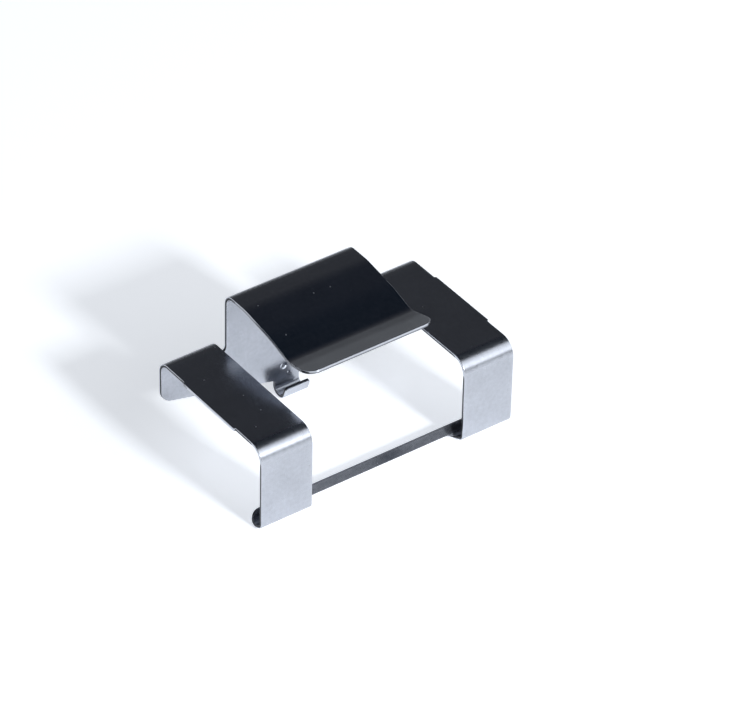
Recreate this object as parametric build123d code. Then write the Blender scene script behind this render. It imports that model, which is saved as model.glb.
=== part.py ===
from build123d import *
import os
from math import cos, radians, sin, tan

# Window screen clip: one piece of spring steel strip, blanked and folded.
# Two straps bridge the frame of a screen, which lies in the channel under them. Their
# legs curl back under at the front and share one hem bar. At the back they hang on one
# upright plate. The middle of that plate carries on upwards and folds forward as a spring
# hood with a turned-up lip, and a small hook curls forward from its lower edge.
#
# Millimetres. X runs across the clip, Y from the legs to the back plate, Z up.
# The origin is on the surface that the clip stands on, midway between the outer faces of
# the legs and of the back plate.

# Sheet
thickness = 0.5

# Straps: leg in front, flat top, back plate behind
overall_width = 44.6
strap_width = 8.8
channel_depth = 25.0
strap_height = 14.8
leg_bend_inside = 2.1
back_bend_inside = 1.6

# Outer edges of the strap tops, which stand proud where the blank was parted
parted_proud = 0.3
parted_length = 12.8

# Curl at the foot of the legs, and the hem bar that joins the two curls. The curl's underside
# falls to the rear, and its free edge stands up behind the leg and leans back.
curl_run = 2.17
curl_front_inside = 0.7
curl_back_inside = 0.5
curl_slope = 20.0
hem_height = 1.84
hem_lean = 25.0
hem_corner_radius = 1.6
window_edge_angle = 61.0
window_corner_radius = 1.5

# Back plate
side_depth = 7.65
side_corner_radius = 2.3
relief_past_bend = 1.5

# Spring hood: a flat crest, two gentle bends down to the front, and the turned-up lip
hood_width = 21.7
hood_height = 22.0
hood_bend_inside = 1.5
crest_run = 5.3
upper_run = 6.7
upper_slope = 9.1
upper_bend_radius = 12.0
lower_run = 4.9
lower_slope = 16.6
lower_bend_radius = 25.0
lip_run = 4.2
lip_slope = 13.3
lip_bend_radius = 3.0
lip_corner_radius = 1.9

# Hook in the middle of the back plate's lower edge
hook_width = 4.4
hook_depth = 3.5
hook_height = 2.45
hook_lean = 20.0
hook_bend_inside = 0.85
hook_neck = 0.9
hook_corner_radius = 0.5
hook_root_radius = 0.5

# Round pit pressed into the front of the back plate
pit_radius = 0.7
pit_depth = 0.2
pit_across = -0.6
pit_height = 4.3

# Places that follow from the sizes above
front = -channel_depth / 2 - thickness
back = channel_depth / 2 + thickness
half_width = overall_width / 2
window_half = half_width - strap_width
curl_front_outside = curl_front_inside + thickness
curl_back_outside = curl_back_inside + thickness
curl_fall = radians(curl_slope)
curl_corner = front + curl_run
curl_setback = curl_back_outside * tan(radians(90 + curl_slope - hem_lean) / 2)
curl_centre = curl_corner - curl_setback * cos(curl_fall) + curl_back_outside * sin(curl_fall)
back_bend_start = strap_height - back_bend_inside - thickness
relief_width = window_half - hood_width / 2
relief_bottom = back_bend_start - relief_past_bend
side_bottom = strap_height - side_depth
hook_bend_outside = hook_bend_inside + thickness
hook_root = hook_bend_outside + hook_neck


def folded_sheet(points, bends, width):
    """A strip of sheet whose outer face follows the points, with a radius at each bend.

    Seen from +X the path runs anticlockwise round the sheet, which lies on its left.
    """
    outline = FilletPolyline(*points, radius=bends)
    section = make_face(offset(outline, amount=thickness, side=Side.LEFT))
    return extrude(Plane.YZ * section, amount=width / 2, both=True)


def with_round_corners(sheet, free_end, radius):
    """The strip with both corners of its free end rounded."""
    across = sheet.edges().filter_by(lambda edge: abs(edge.length - thickness) < 0.001)
    corners = across.sort_by_distance((0, *free_end))[:2]
    return fillet(corners, radius)


def curl_points(leg_height):
    """Outer face of the curl, from the leg's front to the free edge behind it.

    The lowest point of the rear bend is at Z = 0, so its corner is a little below.
    """
    low = curl_back_outside * (1 - cos(curl_fall)) - curl_setback * sin(curl_fall)
    return [
        (front, leg_height),
        (front, low + curl_run * tan(curl_fall)),
        (curl_corner, low),
        (curl_corner + (hem_height - low) * tan(radians(hem_lean)), hem_height),
    ]


def strap():
    """One strap in a single length: start of the back plate, top, leg and curl."""
    points = [(back, relief_bottom), (back, strap_height)]
    points += curl_points(strap_height)
    bends = [
        back_bend_inside + thickness,
        leg_bend_inside + thickness,
        curl_front_outside,
        curl_back_outside,
    ]
    strip = folded_sheet(points, bends, strap_width)
    edge = Box(parted_proud, parted_length, thickness, align=(Align.MIN, Align.CENTER, Align.MAX))
    edge = Pos(strap_width / 2, 0, strap_height) * edge
    return Pos(window_half + strap_width / 2) * (strip + edge)


def window_tool():
    """What the window in the blank takes away at the curl.

    Its edge lies square to the sheet, part of the way round the rear bend. The part above
    reaches a little lower than that bend's centre, to clear the legs' front bends.
    """
    angle = radians(window_edge_angle)
    outline = Rectangle(2 * window_half, 3 * curl_run, align=(Align.CENTER, Align.MAX))
    rear_corners = outline.vertices().group_by(Axis.Y)[-1]
    outline = fillet(rear_corners, window_corner_radius)
    outline = Pos(0, curl_centre, curl_back_outside) * outline
    slanted = extrude(outline, amount=3 * curl_back_outside, dir=(0, sin(angle), -cos(angle)))
    above = Box(
        2 * window_half, 3 * curl_run, strap_height, align=(Align.CENTER, Align.MAX, Align.MIN)
    )
    return slanted + Pos(0, curl_centre, curl_back_outside - thickness / 2) * above


def hem():
    """The bar that joins the curls of the two legs."""
    points = curl_points(strap_height / 2)
    strip = folded_sheet(points, [curl_front_outside, curl_back_outside], 2 * window_half)
    return strip - window_tool()


def hem_corner():
    """What the rounding takes off the outer corner of the hem, on the +X side."""
    radius = hem_corner_radius
    square = Rectangle(2 * radius, 2 * radius, align=(Align.MIN, Align.MIN))
    outline = Pos(half_width - radius, hem_height - radius) * (square - Circle(radius))
    return extrude(Plane.XZ.offset(-curl_centre) * outline, amount=-2 * curl_back_outside)


def back_plate():
    """The upright plate, its lower edge falling from both sides to the hook."""
    outline = Polyline(
        (0, hook_bend_outside),
        (hook_width / 2, hook_bend_outside),
        (hook_width / 2, hook_root),
        (half_width, side_bottom),
        (half_width, back_bend_start),
        (0, back_bend_start),
    )
    face = make_face(outline + mirror(outline, about=Plane.YZ))
    lower_corners = face.vertices().filter_by(
        lambda corner: abs(corner.Y - side_bottom) < 0.001
    )
    face = fillet(lower_corners, side_corner_radius)
    roots = face.vertices().filter_by(lambda corner: abs(corner.Y - hook_root) < 0.001)
    face = fillet(roots, hook_root_radius)
    for side in (-1, 1):
        middle = side * (window_half - relief_width / 2)
        radius = relief_width / 2
        slot = Pos(0, radius) * Circle(radius)
        slot += Pos(0, radius) * Rectangle(
            relief_width, back_bend_start, align=(Align.CENTER, Align.MIN)
        )
        face -= Pos(middle, relief_bottom) * slot
    return extrude(Plane.XZ.offset(-back) * face, amount=thickness)


def hood():
    """The spring hood: wall, crest, two gentle bends downwards and the turned-up lip."""
    crest_end = back - crest_run
    upper_end = crest_end - upper_run
    upper_height = hood_height - upper_run * tan(radians(upper_slope))
    lower_end = upper_end - lower_run
    lower_height = upper_height - lower_run * tan(radians(lower_slope))
    lip_end = (lower_end - lip_run, lower_height + lip_run * tan(radians(lip_slope)))
    points = [
        (back, relief_bottom),
        (back, hood_height),
        (crest_end, hood_height),
        (upper_end, upper_height),
        (lower_end, lower_height),
        lip_end,
    ]
    bends = [
        hood_bend_inside + thickness,
        upper_bend_radius,
        lower_bend_radius,
        lip_bend_radius,
    ]
    sheet = folded_sheet(points, bends, hood_width)
    return with_round_corners(sheet, lip_end, lip_corner_radius)


def hook():
    """The small hook that curls forward from the plate's lower edge, its lip leaning out."""
    lip_end = (back - hook_depth, hook_height)
    lip_foot = back - hook_depth + hook_height * tan(radians(hook_lean))
    points = [lip_end, (lip_foot, 0), (back, 0), (back, hook_root)]
    sheet = folded_sheet(points, [hook_bend_outside, hook_bend_outside], hook_width)
    return with_round_corners(sheet, lip_end, hook_corner_radius)


def pit():
    """The ball that presses the round pit into the front of the back plate."""
    ball_radius = (pit_radius**2 + pit_depth**2) / (2 * pit_depth)
    face = back - thickness
    return Pos(pit_across, face + pit_depth - ball_radius, pit_height) * Sphere(ball_radius)


def clip():
    """The whole clip, as one solid."""
    side = strap()
    corner = hem_corner()
    body = back_plate() + side + mirror(side, about=Plane.YZ)
    body += hem()
    body += hood()
    body += hook()
    body -= corner
    body -= mirror(corner, about=Plane.YZ)
    body -= pit()
    return body.clean()


screen_clip = clip()
screen_clip.label = "screen_clip"
os.makedirs("parts", exist_ok=True)
export_step(screen_clip, "parts/screen_clip.step")
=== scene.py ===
import bpy
import numpy as np
from mathutils import Matrix


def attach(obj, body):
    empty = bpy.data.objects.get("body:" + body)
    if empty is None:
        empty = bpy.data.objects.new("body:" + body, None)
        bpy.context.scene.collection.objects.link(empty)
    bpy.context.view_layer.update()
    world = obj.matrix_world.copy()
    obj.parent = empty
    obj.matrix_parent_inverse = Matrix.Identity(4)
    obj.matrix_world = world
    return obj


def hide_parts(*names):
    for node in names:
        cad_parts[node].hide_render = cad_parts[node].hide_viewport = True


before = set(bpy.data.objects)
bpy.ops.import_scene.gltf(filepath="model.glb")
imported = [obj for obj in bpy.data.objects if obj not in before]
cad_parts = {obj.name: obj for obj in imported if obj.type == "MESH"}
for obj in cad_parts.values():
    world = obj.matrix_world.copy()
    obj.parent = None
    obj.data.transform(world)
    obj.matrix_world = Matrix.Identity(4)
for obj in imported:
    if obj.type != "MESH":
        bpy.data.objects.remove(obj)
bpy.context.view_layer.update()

# ---------------------------------------------------------------------------------------
# The clip
# One blank of 0.5 mm spring steel strip, parted, punched and folded. Two straps with legs
# curl into a hem bar at the front. At the back they hang on one plate, which also carries
# the spring hood and the small hook. Sizes are in millimetres.
# ---------------------------------------------------------------------------------------

# The parted edge bulges past the faces by EDGE_ROLL.
SHEET = 0.5
EDGE_ROLL = 0.05

# Straps, from STRAP_INNER to STRAP_OUTER on both sides. Their outer edges stand proud in the
# middle of the top. Each strip's outer face follows its points, (Y, Z), with a radius at each.
STRAP_INNER = 13.5
STRAP_OUTER = 22.3
PROUD = 0.3
PROUD_HALF_LENGTH = 6.4
PROUD_EASE = 0.12
BACK = 13.0
STRAP_TOP = 14.8
STRAP_POINTS = [(BACK, 0), (BACK, STRAP_TOP), (-13, STRAP_TOP), (-13, 0.537),
                (-10.83, -0.253), (-9.854, 1.84)]
STRAP_RADII = [2.1, 2.6, 1.2, 1.0]

# Hem bar: the window in the blank ends WINDOW_EDGE_TURN round the curl's last bend.
HEM_CORNER = 1.6
WINDOW_CORNER = 1.8
WINDOW_EDGE_TURN = np.radians(81)

# Hood. Its last two bends are the lip, whose right side flares by LIP_FLARE mm for each mm.
HOOD_HALF = 10.85
HOOD_POINTS = [(BACK, 0), (BACK, 22), (7.7, 22), (1.0, 20.927), (-3.0, 19.6), (-5.2, 19.92),
               (-8.2, 20.6)]
HOOD_RADII = [2.0, 12.0, 25.0, 3.0, 12.0]
LIP_CORNER = 2.0
LIP_FLARE = 0.15

# Back plate, below PLATE_ROW in one piece, with SIDE_LOW where its lower edge meets its sides
NOTCH_BOTTOM = 11.2
PLATE_ROW = 10.6
SIDE_CORNER = 2.3
SIDE_LOW = 7.15

# Hook, and where it starts from the plate's lower edge
HOOK_HALF = 2.2
HOOK_ROOT = 2.25
HOOK_POINTS = [(9.5, 2.45), (10.392, 0), (BACK, 0), (BACK, HOOK_ROOT)]
HOOK_RADII = [1.35, 1.35]
HOOK_CORNER = 0.5
HOOK_FILLET = 0.5

# Each pit: place across, height, radius and depth. Its floor is level to PIT_FLOOR of the radius.
PITS = [(-0.6, 4.4, 0.74, 0.08), (0.33, 2.95, 0.3, 0.035)]
PIT_FLOOR = 0.3


def folding_line(points, radii):
    """Outer face of a strip seen from +X: straight runs joined by arcs of the given radii.

    Gives, where each run and arc starts and at the end, the distance along the line, the
    heading in radians and the (Y, Z) place. A run that turns steadily through b over a
    length l ends l sin(b/2)/(b/2) away, in the heading halfway.
    """
    points, radii = np.array(points, float), np.array(radii)
    run = np.diff(points, axis=0)
    heading = np.unwrap(np.arctan2(run[:, 1], run[:, 0]))
    turn = np.diff(heading)
    cut = radii * np.tan(np.abs(turn) / 2)
    length = np.zeros(2 * len(run) - 1)
    length[0::2] = np.hypot(run[:, 0], run[:, 1]) - np.append(cut, 0) - np.append(0, cut)
    length[1::2] = radii * np.abs(turn)
    bend = np.zeros(len(length))
    bend[1::2] = turn
    distance = np.append(0, np.cumsum(length))
    head = heading[0] + np.append(0, np.cumsum(bend))
    chord = length * np.sinc(bend / (2 * np.pi))
    middle = head[:-1] + bend / 2
    steps = np.stack([chord * np.cos(middle), chord * np.sin(middle)], axis=1)
    place = points[0] + np.vstack([np.zeros(2), np.cumsum(steps, axis=0)])
    return distance, head, place


def on_line(line, s):
    """Y, Z and heading at the distance s along a folding line, by the same chord formula."""
    distance, head, place = line
    k = np.clip(np.searchsorted(distance, s, side="right") - 1, 0, len(distance) - 2)
    length = s - distance[k]
    bend = (head[k + 1] - head[k]) * length / (distance[k + 1] - distance[k])
    chord = length * np.sinc(bend / (2 * np.pi))
    middle = head[k] + bend / 2
    y = place[k, 0] + chord * np.cos(middle)
    z = place[k, 1] + chord * np.sin(middle)
    return y, z, head[k] + bend


# In the flat blank a point has x across and s along the strips. On the plate s is the
# height, and it runs on over the straps and the hood, and below the plate into the hook.
strap_line = folding_line(STRAP_POINTS, STRAP_RADII)
hood_line = folding_line(HOOD_POINTS, HOOD_RADII)
hook_line = folding_line(HOOK_POINTS, HOOK_RADII)
hook_line = (hook_line[0] + HOOK_ROOT - hook_line[0][-1], hook_line[1], hook_line[2])
notch_middle = (HOOD_HALF + STRAP_INNER) / 2


def fold(x, s, depth):
    """Folded place of a blank point that lies depth below the sheet's outer face.

    The point of the strip's folding line at s, moved by depth along the normal that points
    to the line's left, which is into the sheet. The hem bar is as far out as the hood, but
    farther along than the hood reaches.
    """
    in_hood = (np.abs(x) < notch_middle) & (s < hood_line[0][-1] + SHEET)
    strap, hood, hook = (on_line(line, s) for line in (strap_line, hood_line, hook_line))
    chosen = [s < HOOK_ROOT, in_hood]
    y, z, head = (np.select(chosen, pair[:2], pair[2]) for pair in zip(hook, hood, strap))
    return np.stack([x, y - depth * np.sin(head), z + depth * np.cos(head)], axis=-1)


def graded(stops, counts):
    """Values through the stops, with the given number of equal steps between each two."""
    return np.interp(np.arange(sum(counts) + 1), np.append(0, np.cumsum(counts)), stops)


def quarter(start, size, steps):
    """Values from start on, size apart in all, closing up as a quarter circle's sine does."""
    return start + size * np.sin(np.linspace(0, np.pi / 2, steps + 1))


def arc(offset, radius):
    """Height of a circle over its middle, at an offset: the root of radius^2 - offset^2."""
    return np.sqrt(np.maximum(radius**2 - np.maximum(offset, 0) ** 2, 0))


# The faces stop short of the cut edges by EDGE_ROLL, where the rim starts. From here on the
# counts are mesh steps, close enough that no bend or corner shows a facet.
inner_x = STRAP_INNER + EDGE_ROLL
outer_x = STRAP_OUTER - EDGE_ROLL
hood_x = HOOD_HALF - EDGE_ROLL
hook_x = HOOK_HALF - EDGE_ROLL
notch_radius = (STRAP_INNER - HOOD_HALF) / 2 + EDGE_ROLL
notch_centre = NOTCH_BOTTOM - EDGE_ROLL + notch_radius
root_radius = HOOK_FILLET + EDGE_ROLL
side_radius = SIDE_CORNER - EDGE_ROLL
lip_radius = LIP_CORNER - EDGE_ROLL
hem_radius = HEM_CORNER - EDGE_ROLL
window_radius = WINDOW_CORNER + EDGE_ROLL
hook_radius = HOOK_CORNER - EDGE_ROLL

slope = np.arctan2(SIDE_LOW - HOOK_ROOT, STRAP_OUTER - HOOK_HALF)


def falling_edge(x):
    """Height of the plate's straight lower edge at the distance x from the middle."""
    return HOOK_ROOT + (x - HOOK_HALF) * np.tan(slope) + EDGE_ROLL / np.cos(slope)


root_x = hook_x + root_radius
root_s = falling_edge(root_x) - root_radius / np.cos(slope)
root_end_x = root_x - root_radius * np.sin(slope)
root_end_s = root_s + root_radius * np.cos(slope)
side_x = outer_x - side_radius
side_s = falling_edge(side_x) + side_radius / np.cos(slope)


def plate_low(x):
    """Lowest s of the plate block: a level stretch over the hook, the falling edge, a corner."""
    x = np.abs(x)
    corner = side_s - arc(x - side_x, side_radius)
    low = np.where(x < side_x + side_radius * np.sin(slope), falling_edge(x), corner)
    return np.where(x <= root_end_x, root_end_s, low)


NEAR_EDGE = 0.2
middle_columns = np.linspace(0, root_end_x, 31)
hood_columns = np.concatenate([
    middle_columns, np.linspace(root_end_x, hood_x - lip_radius, 15)[1:],
    quarter(hood_x - lip_radius, lip_radius, 10)[1:]])
notch_columns = notch_middle - notch_radius * np.cos(np.linspace(0, np.pi, 13))
strap_columns = np.concatenate([
    graded([inner_x, inner_x + NEAR_EDGE, side_x], [2, 12]),
    quarter(side_x, side_radius, 12)[1:]])
half_columns = np.concatenate([hood_columns, notch_columns[1:], strap_columns[1:]])
window_columns = np.concatenate([
    np.linspace(0, inner_x - window_radius, 13),
    quarter(inner_x - window_radius, window_radius, 10)[1:]])


def mirrored(columns):
    """The columns of one half, from 0 outwards, and their mirror image."""
    return np.concatenate([-columns[:0:-1], columns])


blocks = []


def block(x, s):
    """Adds a grid of blank points, with x and s given for column by row."""
    blocks.append(np.stack(np.broadcast_arrays(x, s), axis=-1))


# Plate, with close rows round the pit
share = graded([0, 0.42, 1], [36, 9])
x = mirrored(half_columns)[:, None]
block(x, plate_low(x) + share * (PLATE_ROW - plate_low(x)))

# Shoulders under the two notches
share = np.linspace(0, 1, 9)
x = notch_columns[:, None]
top = notch_centre - arc(np.abs(x - notch_middle), notch_radius)
for side in (1, -1):
    block(side * x[::side], (PLATE_ROW + share * (top - PLATE_ROW))[::side])
shoulder_rows = PLATE_ROW + share * (notch_centre - PLATE_ROW)

# Hood, its last rows drawn in to the round corners of the lip, whose right side flares
BEFORE_LIP_CORNER, BEFORE_HOOK_CORNER = 0.4, 0.1
hood_end = hood_line[0][-1] - EDGE_ROLL
lip_start = hood_end - lip_radius - BEFORE_LIP_CORNER
stops = [notch_centre, *hood_line[0][1:-1], lip_start, hood_end]
rows = graded(stops, [5, 22, 3, 6, 4, 6, 3, 12, 2, 6, 2, 10])
rows = np.concatenate([shoulder_rows, rows[1:]])
x = mirrored(hood_columns)[:, None]
end = hood_end - lip_radius + arc(np.abs(x) - (hood_x - lip_radius), lip_radius)
share = np.maximum(rows - lip_start, 0) / (hood_end - lip_start)
s = np.where(rows > lip_start, lip_start + share * (end - lip_start), rows)
past_valley = np.maximum(s - hood_line[0][7:9].mean(), 0)
block(x + LIP_FLARE * past_valley * np.maximum(x, 0) / HOOD_HALF, s)

# Straps, with the proud outer edge, and their last rows drawn in to the hem's corners
strap_end = strap_line[0][-1] - EDGE_ROLL
window_s = strap_line[0][-3] + WINDOW_EDGE_TURN * STRAP_RADII[-1] + EDGE_ROLL
hem_start = window_s - window_radius
top_middle = strap_line[0][2] + BACK - STRAP_RADII[0]
proud_ends = [top_middle - PROUD_HALF_LENGTH, top_middle + PROUD_HALF_LENGTH]
ease = PROUD_EASE * np.linspace(-0.5, 0.5, 7)
stops = [notch_centre, *strap_line[0][1:3], *(proud_ends[0] + ease), *(proud_ends[1] + ease),
         *strap_line[0][3:-3], hem_start]
counts = [3, 20, 4] + [1] * 6 + [10] + [1] * 6 + [4, 24, 8, 20, 2]
rows = np.concatenate([shoulder_rows, graded(stops, counts)[1:]])
hem_share = np.linspace(0, 1, 31)
x = strap_columns[:, None]
end = strap_end - hem_radius + arc(x - (outer_x - hem_radius), hem_radius)
s = np.hstack([np.broadcast_to(rows, (len(x), len(rows))),
               hem_start + hem_share[1:] * (end - hem_start)])
from_end = PROUD_HALF_LENGTH - np.abs(s - top_middle)
proud = PROUD * np.clip(from_end / PROUD_EASE + 0.5, 0, 1)
x = x + proud * (x - inner_x) / (outer_x - inner_x)
for side in (1, -1):
    block(side * x[::side], s[::side])

# Hem bar, from the window's edge to the free edge
x = mirrored(window_columns)[:, None]
low = window_s - window_radius + arc(np.abs(x) - (inner_x - window_radius), window_radius)
block(x, low + hem_share * (strap_end - low))

# Hook, widening into the plate at its root
hook_end = hook_line[0][0] + EDGE_ROLL
hook_lip = hook_end + hook_radius + BEFORE_HOOK_CORNER
stops = [hook_end, hook_lip, *hook_line[0][1:-1], root_s, root_end_s]
rows = graded(stops, [8, 4, 18, 4, 20, 2, 8])
half = hook_x + root_radius - arc(rows - root_s, root_radius)
x = mirrored(middle_columns)[:, None] / root_end_x * half
end = hook_end + hook_radius - arc(np.abs(x) - (hook_x - hook_radius), hook_radius)
share = (hook_lip - rows) / (hook_lip - hook_end)
block(x, np.where(rows < hook_lip, hook_lip - share * (hook_lip - end), rows))


def quads(columns, rows):
    """Corner numbers of a grid's quads, anticlockwise with x to the right and s upwards."""
    first = np.arange(columns * rows).reshape(columns, rows)
    corners = first[:-1, :-1], first[1:, :-1], first[1:, 1:], first[:-1, 1:]
    return np.stack(corners, axis=-1).reshape(-1, 4)


# One net of all the blocks, joined where their edge points are the same to 0.0002 mm
JOIN_STEPS_PER_MM = 5000
starts = np.append(0, np.cumsum([b.shape[0] * b.shape[1] for b in blocks]))
net = np.vstack([quads(*b.shape[:2]) + start for b, start in zip(blocks, starts)])
blank = np.vstack([b.reshape(-1, 2) for b in blocks])
_, kept, joined = np.unique(np.round(blank * JOIN_STEPS_PER_MM), axis=0,
                            return_index=True, return_inverse=True)
blank, net = blank[kept], joined.reshape(-1)[net]

# The cut edge: the net's border carried round the section that parting leaves, which is a
# rolled-over corner, a smooth sheared band, a torn band and a sharp lower corner. Each pair
# is the share of EDGE_ROLL outwards and the share of SHEET below the outer face.
CUT_SECTION = np.array([(0, 0), (0.38, 0.01), (0.71, 0.035), (0.92, 0.07), (1, 0.12), (1, 0.3),
                        (0.9, 0.34), (0.86, 0.38), (0.8, 0.94), (0.62, 0.985), (0, 1)])
edge = np.stack([net, np.roll(net, -1, axis=1)], axis=-1).reshape(-1, 2)
count = len(blank)
edge = edge[~np.isin(edge @ (count, 1), edge @ (1, count))]
step = blank[edge[:, 1]] - blank[edge[:, 0]]
outward = np.stack([step[:, 1], -step[:, 0]], axis=1) / np.hypot(*step.T)[:, None]
lean = np.zeros((count, 2))
np.add.at(lean, edge, outward[:, None])
border = np.unique(edge)
lean = lean[border] / np.hypot(*lean[border].T)[:, None]
place_in_border = np.full(count, -1)
place_in_border[border] = np.arange(len(border))


def pit_sides(x, s):
    """For each pit, 0 outside it, 1 on its floor, and rising evenly between the two."""
    away = [np.hypot(x - across, s - height) / radius for across, height, radius, _ in PITS]
    return [np.clip((1 - share) / (1 - PIT_FLOOR), 0, 1) for share in away]


def pit_depth(x, s):
    """Depth of the round pits pressed into the plate's front: dishes with a level floor, out
    to the share PIT_FLOOR of the radius, and a side that rises as 3u^2 - 2u^3."""
    return sum(pit[3] * u**2 * (3 - 2 * u) for pit, u in zip(PITS, pit_sides(x, s)))


sections = len(CUT_SECTION)
rim = blank[border] + lean * EDGE_ROLL * CUT_SECTION[1:-1, 0, None, None]
points = np.concatenate([
    fold(*blank.T, 0), fold(*blank.T, SHEET - pit_depth(*blank.T)),
    fold(*rim.reshape(-1, 2).T, np.repeat(CUT_SECTION[1:-1, 1] * SHEET, len(border)))])
flat = np.concatenate([blank, blank, rim.reshape(-1, 2)])

ring = 2 * count + np.arange((sections - 2) * len(border)).reshape(sections - 2, -1)
ring = np.vstack([border, ring, border + count])
a, b = place_in_border[edge].T
walls = np.stack([ring[:-1, a], ring[:-1, b], ring[1:, b], ring[1:, a]], axis=-1)
faces = np.vstack([net[:, ::-1], net + count, walls.reshape(-1, 4)])
cut = np.zeros(faces.shape)
level = np.broadcast_to(np.arange(sections - 1)[:, None], walls.shape[:2])
level = np.stack([level, level, level + 1, level + 1], axis=-1) / (sections - 1)
cut[len(net):2 * len(net)] = 1

# How much less of the cut is torn: the proud stretches were sheared, the leg bends' edges
# are stretched bright, which fades out over a millimetre, and past its crest the hood's edge
# is torn only near the inner face.
x, s = np.abs(flat[walls, 0]), flat[walls, 1]
in_hood = x < notch_middle
bend_start, bend_end = strap_line[0][3:5]
in_bend = np.clip(np.minimum(s - bend_start, bend_end - s) + 0.5, 0, 1)
SHEARED_PROUD, SHEARED_HOOD, SHEARED_BEND = 0.5, 0.26, 0.5
less_torn = np.select([x > STRAP_OUTER + PROUD / 2, in_hood & (s > hood_line[0][2]), ~in_hood],
                      [SHEARED_PROUD, SHEARED_HOOD, SHEARED_BEND * in_bend], 0)
level = level * (1 - less_torn)
cut[2 * len(net):] = level.reshape(-1, 4)

mesh = bpy.data.meshes.new("screen_clip_sheet")
mesh.from_pydata(points * 0.001, [], faces)
mesh.update()
uv = mesh.uv_layers.new(name="blank")
uv.uv.foreach_set("vector", (flat[faces.reshape(-1)] * 0.001).ravel())
across_cut = mesh.attributes.new("across_cut", "FLOAT", "CORNER")
across_cut.data.foreach_set("value", cut.ravel())

# How rubbed each point is: 1 at the cut edge, fading inwards as exp(-distance / RUB_WIDTH).
# The distances to the whole border are taken in parts, to spare memory.
RUB_WIDTH = 0.3
gap = [np.hypot(part[:, None, 0] - rim[0, :, 0], part[:, None, 1] - rim[0, :, 1]).min(axis=1)
       for part in np.array_split(blank.astype(np.float32), 64)]
tone_shift = np.exp(-np.concatenate(gap) / RUB_WIDTH)
# The sides of the pits get a painted highlight, brighter and smoother, most halfway up, as
# 4u(1 - u). The hem bar's inner face is made darker, by HEM_DARKENING. At DARKENING_MIDDLE
# it is darker by the share DARKENING_EXTRA more, which fades from there as exp(-(distance /
# DARKENING_REACH)^2).
PIT_PAINTED_HIGHLIGHT, HEM_DARKENING, DARKENING_EXTRA, DARKENING_MIDDLE, DARKENING_REACH = 4.0, -3.7, 0.6, 2.0, 2.5
x, s = blank.T
pit_painted_highlight = sum(PIT_PAINTED_HIGHLIGHT * 4 * u * (1 - u) for u in pit_sides(x, s))
darker_hem = HEM_DARKENING * (1 + DARKENING_EXTRA * np.exp(-((x - DARKENING_MIDDLE) / DARKENING_REACH) ** 2))
inner_wear_and_painted_light = tone_shift + pit_painted_highlight + darker_hem * (s > strap_line[0][7])
rub_rim = np.ones(len(points) - 2 * count)
edge_wear_and_painted_light = mesh.attributes.new("edge_wear_and_painted_light", "FLOAT", "POINT")
edge_wear_and_painted_light.data.foreach_set("value", np.concatenate([tone_shift, inner_wear_and_painted_light, rub_rim]))

# How much each point is stretched by a tight bend: STRETCH_AT_ENDS at both of its ends, and
# rising to 1 inside and falling to 0 outside at the same rate, 1 for each STRETCH_EASE
STRETCH_EASE, STRETCH_AT_ENDS, TIGHT_RADIUS = 0.8, 0.3, 2.7
stretch = np.zeros(len(flat))
x, s = np.abs(flat[:, 0]), flat[:, 1]
for line, radii, here in ((strap_line, STRAP_RADII, x > notch_middle),
                          (hood_line, HOOD_RADII, x < notch_middle)):
    for start, end, bend_radius in zip(line[0][1::2], line[0][2::2], radii):
        if bend_radius < TIGHT_RADIUS:
            from_ends = np.minimum(s - start, end - s)
            inside = np.clip(from_ends / STRETCH_EASE + STRETCH_AT_ENDS, 0, 1)
            stretch = np.where(here, np.maximum(stretch, inside), stretch)
stretched = mesh.attributes.new("stretched", "FLOAT", "POINT")
stretched.data.foreach_set("value", stretch)
mesh.shade_smooth()
clip = bpy.data.objects.new("screen_clip_sheet", mesh)
bpy.context.collection.objects.link(clip)


def linear(code):
    """An sRGB hex colour as the linear RGBA that shader sockets take."""
    srgb = np.array([int(code[i:i + 2], 16) for i in (1, 3, 5)]) / 255
    rgb = np.where(srgb <= 0.04045, srgb / 12.92, ((srgb + 0.055) / 1.055) ** 2.4)
    return (*rgb, 1.0)


def node(tree, kind, settings=(), out=0, **links):
    """Adds a node and gives its output named by out, or the node itself where out is None.

    Settings are the node's own properties. Links name inputs, with spaces written as _ and
    numbers as _0, and give each a value or the output that feeds it.
    """
    made = tree.nodes.new(kind)
    for name, value in dict(settings).items():
        setattr(made, name, value)
    for name, value in links.items():
        socket = made.inputs[int(name[1:]) if name[1:].isdigit() else name.replace("_", " ")]
        if isinstance(value, bpy.types.NodeSocket):
            tree.links.new(value, socket)
        else:
            socket.default_value = value
    return made if out is None else made.outputs[out]


# Spring steel strip, cold rolled and left bare. Reflections are soft but keep their shape.
# The rolls leave a fine grain along the strips, handling leaves a faint cloudiness and a few
# specks, and the tight bends are roughened by the stretch. The blanked edge is burnished by
# the die near the outer face and torn and rough below it. Its dark colour there is partly the
# torn steel and partly painted shade. Faces are rubbed a little brighter along their edges,
# the sides of the pits carry a painted highlight, the hem bar's inner face is made darker,
# and the inner face is a little duller.
# The real grain is some 0.03 mm wide, too fine for the picture, so it is drawn four times
# coarser. Lengths are in metres, as the UV map "blank" is.
GRAIN_WIDTH, GRAIN_LENGTH = 0.00012, 0.002
MOTTLE, CLOUD, SPECK_SPACING = 0.0006, 0.005, 0.0028
SPECK_LOT, SPECK_SIZE, SPECK_SOFT, SPECK_RAG = 0.75, 0.06, 0.02, 0.25
GRAIN_BUMP, CLOUD_BUMP = 5e-7, 8e-6
MEAN_SHADE, MEAN_ROUGHNESS = 0.35, 0.2
STEEL_DULL, STEEL_BRIGHT, STEEL_TORN_AND_SHADE = "#ADB0B7", "#BDC0C7", "#3E3F43"

steel = bpy.data.materials.new("bare_spring_steel")
steel.use_nodes = True
tree = steel.node_tree
shader = tree.nodes["Principled BSDF"]
shader.inputs["Metallic"].default_value = 1

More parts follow.
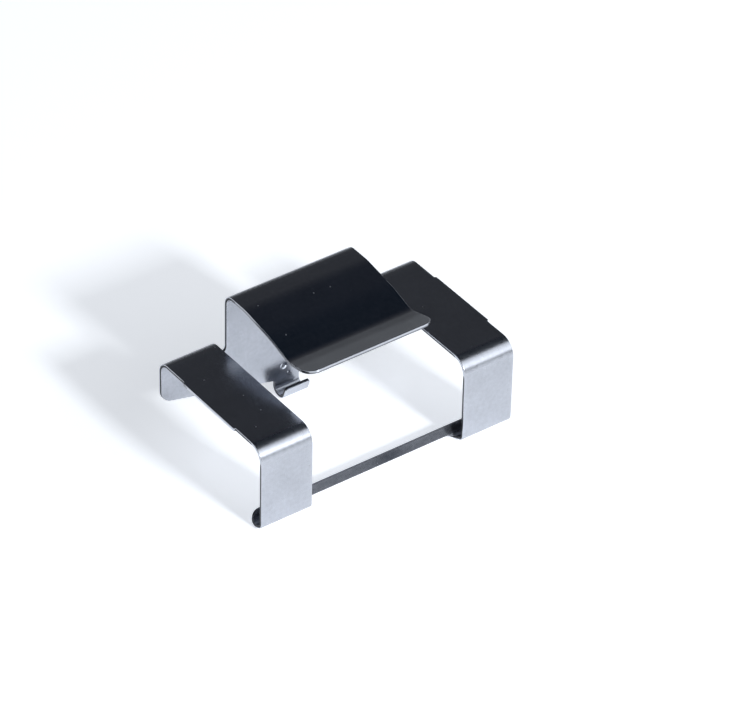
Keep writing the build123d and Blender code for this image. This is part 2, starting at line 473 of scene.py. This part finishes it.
# Patterns over the flat blank, each counted in its own length
flat_place = node(tree, "ShaderNodeUVMap", {"uv_map": "blank"})
counted = [node(tree, "ShaderNodeVectorMath", {"operation": "DIVIDE"}, _0=flat_place,
                _1=(wide, long, 1))
           for wide, long in ((GRAIN_WIDTH, GRAIN_LENGTH), (MOTTLE, MOTTLE), (CLOUD, CLOUD),
                              (SPECK_SPACING, SPECK_SPACING))]
grain, mottle, cloud = (node(tree, "ShaderNodeTexNoise", Vector=vector, Scale=1.0, Detail=detail)
                        for vector, detail in zip(counted, (2.0, 4.0, 1.0)))
cells = node(tree, "ShaderNodeTexVoronoi", {"voronoi_dimensions": "2D"}, None,
             Vector=counted[3], Scale=1.0).outputs

# A cell has a speck where its random number is well above SPECK_LOT, and the larger the more
# it is. Sizes are shares of SPECK_SPACING. The mottle, 0.5 in the mean, makes its edge ragged.
lot = node(tree, "ShaderNodeSeparateColor", Color=cells["Color"])
size = node(tree, "ShaderNodeMapRange", Value=lot, From_Min=SPECK_LOT, To_Min=-0.05,
            To_Max=SPECK_SIZE)
ragged = node(tree, "ShaderNodeMath", {"operation": "MULTIPLY_ADD"},
              _0=mottle, _1=SPECK_RAG, _2=cells["Distance"])
inside = node(tree, "ShaderNodeMath", {"operation": "SUBTRACT"}, _0=size, _1=ragged)
speck = node(tree, "ShaderNodeMapRange", Value=inside, From_Min=-0.5 * SPECK_RAG,
             From_Max=SPECK_SOFT - 0.5 * SPECK_RAG)

# Bands of the cut edge, and the inner face
across = node(tree, "ShaderNodeAttribute", {"attribute_name": "across_cut"}, "Fac")
past_burnish = node(tree, "ShaderNodeMapRange", Value=across, From_Min=0.52, From_Max=0.6)
before_burr = node(tree, "ShaderNodeMapRange", Value=across, From_Min=0.95, From_Max=0.84)
torn = node(tree, "ShaderNodeMath", {"operation": "MULTIPLY"}, _0=past_burnish, _1=before_burr)
inner = node(tree, "ShaderNodeMapRange", Value=across, From_Min=0.95)
# Edge wear, with the painted highlight on the pit sides and the darkening of the hem bar added
tone_shift = node(tree, "ShaderNodeAttribute", {"attribute_name": "edge_wear_and_painted_light"}, "Fac")
smoothed = node(tree, "ShaderNodeMapRange", Value=tone_shift, From_Max=2.0)
stretch = node(tree, "ShaderNodeAttribute", {"attribute_name": "stretched"}, "Fac")

# Shade goes from 0, dull, to 1, bright, and past both. Each pattern adds its share; noise is
# 0.5 in the mean, which the start takes off again.
shade = MEAN_SHADE - 0.5 * (1.25 + 1.0 + 0.5)
for pattern, share in ((mottle, 1.25), (cloud, 1.0), (grain, 0.5), (tone_shift, 0.5), (inner, -0.6)):
    shade = node(tree, "ShaderNodeMath", {"operation": "MULTIPLY_ADD"},
                 _0=pattern, _1=share, _2=shade)
roughness = MEAN_ROUGHNESS - 0.5 * (0.1 + 0.1)
for pattern, share in ((mottle, 0.1), (grain, 0.1), (smoothed, -0.08), (inner, 0.04),
                       (stretch, 0.1), (speck, 0.4), (torn, 0.25)):
    roughness = node(tree, "ShaderNodeMath", {"operation": "MULTIPLY_ADD"},
                     _0=pattern, _1=share, _2=roughness)
tree.links.new(roughness, shader.inputs["Roughness"])
face_colour = node(tree, "ShaderNodeMix", {"data_type": "RGBA", "clamp_factor": False}, 2,
                   _0=shade, _6=linear(STEEL_DULL), _7=linear(STEEL_BRIGHT))
# The torn band's dark colour is partly the duller torn steel and partly painted shade
colour = node(tree, "ShaderNodeMix", {"data_type": "RGBA"}, 2,
              _0=torn, _6=face_colour, _7=linear(STEEL_TORN_AND_SHADE))
tree.links.new(colour, shader.inputs["Base Color"])
waves = node(tree, "ShaderNodeBump", Height=cloud, Distance=CLOUD_BUMP)
lines = node(tree, "ShaderNodeBump", Height=grain, Distance=GRAIN_BUMP, Normal=waves)
tree.links.new(lines, shader.inputs["Normal"])
mesh.materials.append(steel)

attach(clip, "root")
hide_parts("screen_clip")

# ---------------------------------------------------------------------------------------
# The table top
# A round sheet of opal acrylic, lit from below and slightly glossy, on which the clip stands.
# Its far edge sweeps up as a low cove, so that it is the background from a low angle too.
# ---------------------------------------------------------------------------------------

CENTRE_RADIUS = 0.02
TABLE_RADIUS = 5.0
COVE_RADIUS = 0.45

# Rings of points, level out to TABLE_RADIUS and then up a quarter circle; one face in the centre
turn = np.linspace(0, 2 * np.pi, 97)[:-1]
rise = np.linspace(0, np.pi / 2, 13)[1:]
level = np.linspace(CENTRE_RADIUS, TABLE_RADIUS, 12)
radius = np.concatenate([level, TABLE_RADIUS + COVE_RADIUS * np.sin(rise)])
height = np.concatenate([0 * level, COVE_RADIUS * (1 - np.cos(rise))])
points = np.stack(np.broadcast_arrays(
    radius * np.cos(turn)[:, None], radius * np.sin(turn)[:, None], height), axis=-1)
number = np.arange(points.shape[0] * points.shape[1]).reshape(points.shape[:2])
after = np.roll(number, -1, axis=0)
faces = np.stack([number[:, :-1], number[:, 1:], after[:, 1:], after[:, :-1]], axis=-1)
mesh = bpy.data.meshes.new("table_top")
mesh.from_pydata(points.reshape(-1, 3), [],
                 [*faces.reshape(-1, 4).tolist(), number[:, 0].tolist()])
mesh.shade_smooth()
table = bpy.data.objects.new("table_top", mesh)
bpy.context.collection.objects.link(table)

# Opal acrylic, white through and through. The glow keeps shadows on it shallow and makes the
# legs bright; it is for the camera and for reflections, and lights nothing.
NEAR_GLOW, FAR_GLOW = 0.65, 0.25
GLOW_START, GLOW_END = 0.35, 1.2
opal = bpy.data.materials.new("opal_acrylic")
opal.use_nodes = True
tree = opal.node_tree
shader = tree.nodes["Principled BSDF"]
shader.inputs["Base Color"].default_value = linear("#F4F4F4")
shader.inputs["Roughness"].default_value = 0.2
shader.inputs["Emission Color"].default_value = linear("#F2F6FC")
path = node(tree, "ShaderNodeLightPath", out=None).outputs
seen = path["Is Camera Ray"]
for ray in ("Is Glossy Ray", "Is Transmission Ray"):
    seen = node(tree, "ShaderNodeMath", {"operation": "MAXIMUM"}, _0=seen, _1=path[ray])
place = node(tree, "ShaderNodeTexCoord", out="Object")
away = node(tree, "ShaderNodeVectorMath", {"operation": "LENGTH"}, "Value", _0=place)
fade = node(tree, "ShaderNodeMapRange", Value=away, From_Min=GLOW_START, From_Max=GLOW_END,
            To_Min=NEAR_GLOW, To_Max=FAR_GLOW)
glow = node(tree, "ShaderNodeMath", {"operation": "MULTIPLY"}, _0=seen, _1=fade)
tree.links.new(glow, shader.inputs["Emission Strength"])
mesh.materials.append(opal)

# ---------------------------------------------------------------------------------------
# Light
# A small key lamp in front, low enough to draw the shadows that fall to the rear, a wide
# softbox to its right for the highlights on the leg bends, and a weak fill from the left.
# The room round them is dark: lighter near the horizon, darkest high up.
# ---------------------------------------------------------------------------------------


def soft_lamp(name, azimuth, elevation, away, size, watts, colour):
    """A square area lamp that faces the clip from an azimuth and elevation in degrees.

    Azimuth 0 is in front of the legs, and 90 at the clip's right.
    """
    lamp = bpy.data.objects.new(name, bpy.data.lights.new(name, "AREA"))
    lamp.data.size = size
    lamp.data.energy = watts
    lamp.data.color = linear(colour)[:3]
    a, e = np.radians(azimuth), np.radians(elevation)
    back = np.array([np.sin(a) * np.cos(e), -np.cos(a) * np.cos(e), np.sin(e)])
    right = np.array([np.cos(a), np.sin(a), 0])
    axes = np.stack([right, np.cross(back, right), back, back * away], axis=1)
    lamp.matrix_world = Matrix([*axes.tolist(), (0, 0, 0, 1)])
    bpy.context.collection.objects.link(lamp)


soft_lamp("key_lamp", 7, 29, 1.2, 0.15, 11.6, "#F4F8FD")
soft_lamp("front_softbox", 37, 35, 1.0, 0.78, 2.9, "#F4F8FD")
soft_lamp("left_fill", -80, 66, 1.0, 0.4, 0.5, "#F4F8FD")

# Tones of the room by the height of the direction, from 0, level, to 1, straight up
ROOM = [(0.0, "#424245"), (0.12, "#505255"), (0.26, "#7C7E80"), (0.5, "#4B4C4F"),
        (0.76, "#272B34"), (0.86, "#111C28"), (1.0, "#1E2026")]
world = bpy.data.worlds.new("dark_room")
bpy.context.scene.world = world
world.use_nodes = True
tree = world.node_tree
direction = node(tree, "ShaderNodeTexCoord", out="Generated")
height = node(tree, "ShaderNodeSeparateXYZ", out="Z", Vector=direction)
ramp = node(tree, "ShaderNodeValToRGB", out=None, Fac=height)
stops = ramp.color_ramp.elements
while len(stops) < len(ROOM):
    stops.new(0.5)
for stop, (place, colour) in zip(stops, ROOM):
    stop.position = place
    stop.color = linear(colour)
tree.links.new(ramp.outputs["Color"], tree.nodes["Background"].inputs["Color"])

# ---------------------------------------------------------------------------------------
# Camera
# A long lens from the front left, above the clip. Its turn, tilt and distance were fitted to
# the straight edges of the photograph.
# ---------------------------------------------------------------------------------------

# The fit's own origin lies FIT_SHIFT_MM from the part's.
CAMERA_TURN = np.radians(-36.7506)
CAMERA_TILT = np.radians(37.5776)
CAMERA_ROLL = np.radians(1.3634)
CAMERA_PLACE_MM = (-1.8743, 16.3293, 686.916)
CAMERA_LENS_MM = 227.66
CAMERA_SENSOR_MM = 36
FIT_SHIFT_MM = np.array([0, -13, 0.33])

back = np.array([np.sin(CAMERA_TURN) * np.cos(CAMERA_TILT),
                 -np.cos(CAMERA_TURN) * np.cos(CAMERA_TILT), np.sin(CAMERA_TILT)])
level_right = np.array([np.cos(CAMERA_TURN), np.sin(CAMERA_TURN), 0])
level_up = np.cross(back, level_right)
right = level_right * np.cos(CAMERA_ROLL) + level_up * np.sin(CAMERA_ROLL)
up = level_up * np.cos(CAMERA_ROLL) - level_right * np.sin(CAMERA_ROLL)
axes = np.stack([right, up, back], axis=1)
eye = (axes @ CAMERA_PLACE_MM + FIT_SHIFT_MM) * 0.001
camera = bpy.data.objects.new("camera", bpy.data.cameras.new("camera"))
camera.data.sensor_width = CAMERA_SENSOR_MM
camera.data.lens = CAMERA_LENS_MM
camera.matrix_world = Matrix([*np.column_stack([axes, eye]).tolist(), (0, 0, 0, 1)])
bpy.context.collection.objects.link(camera)
bpy.context.scene.camera = camera

bpy.context.scene.view_settings.view_transform = "Standard"
